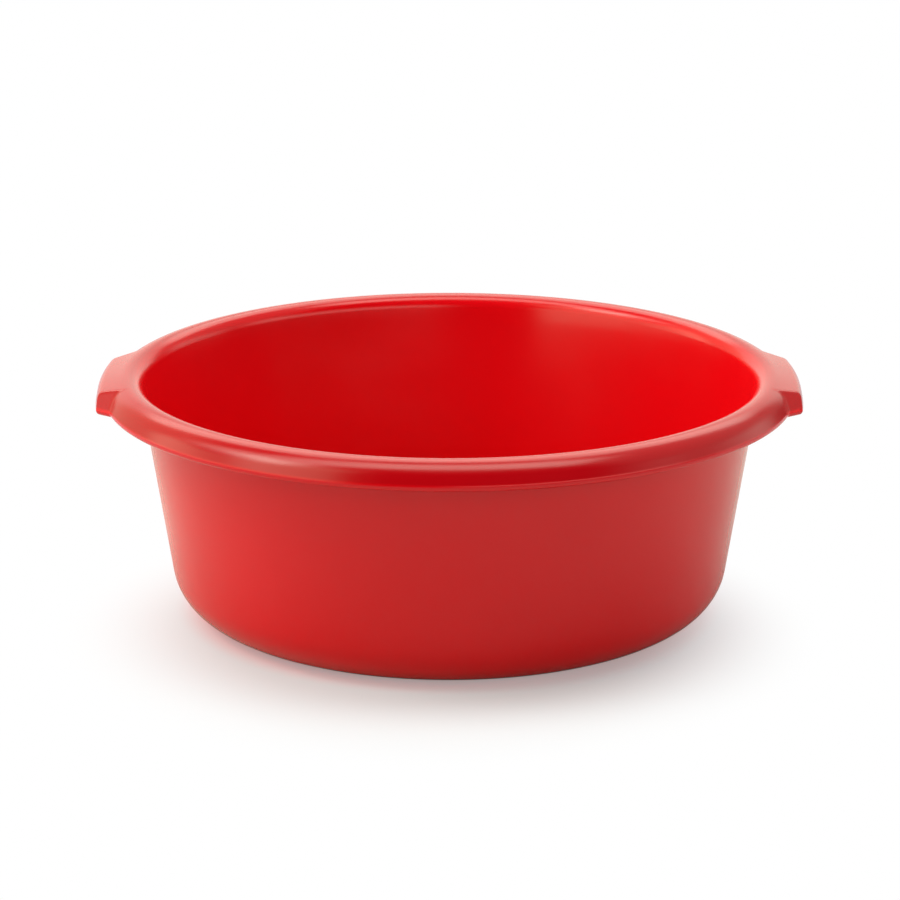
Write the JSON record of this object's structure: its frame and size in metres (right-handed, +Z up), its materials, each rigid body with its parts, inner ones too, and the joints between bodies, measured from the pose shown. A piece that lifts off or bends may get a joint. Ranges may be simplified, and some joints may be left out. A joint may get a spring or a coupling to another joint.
{
  "type": "washing-up basin",
  "caption": "Round plastic basin with leaning wall, rounded heel, arched rim with a rolled lip and a hollow grip drawn out of the rim on each side",
  "frame": {"origin": "on the ground at the middle of the basin's base", "axes": "+Z up, out of the basin's mouth; +X through the middle of one grip; +Y across, away from the picture's camera"},
  "size_m": [0.405, 0.3966, 0.1405],
  "materials": {
    "red_plastic": "injection moulded polypropylene, self-coloured red, satin gloss outside and in"
  },
  "bodies": {
    "root": {"basin": "red_plastic"}
  },
  "joints": []
}
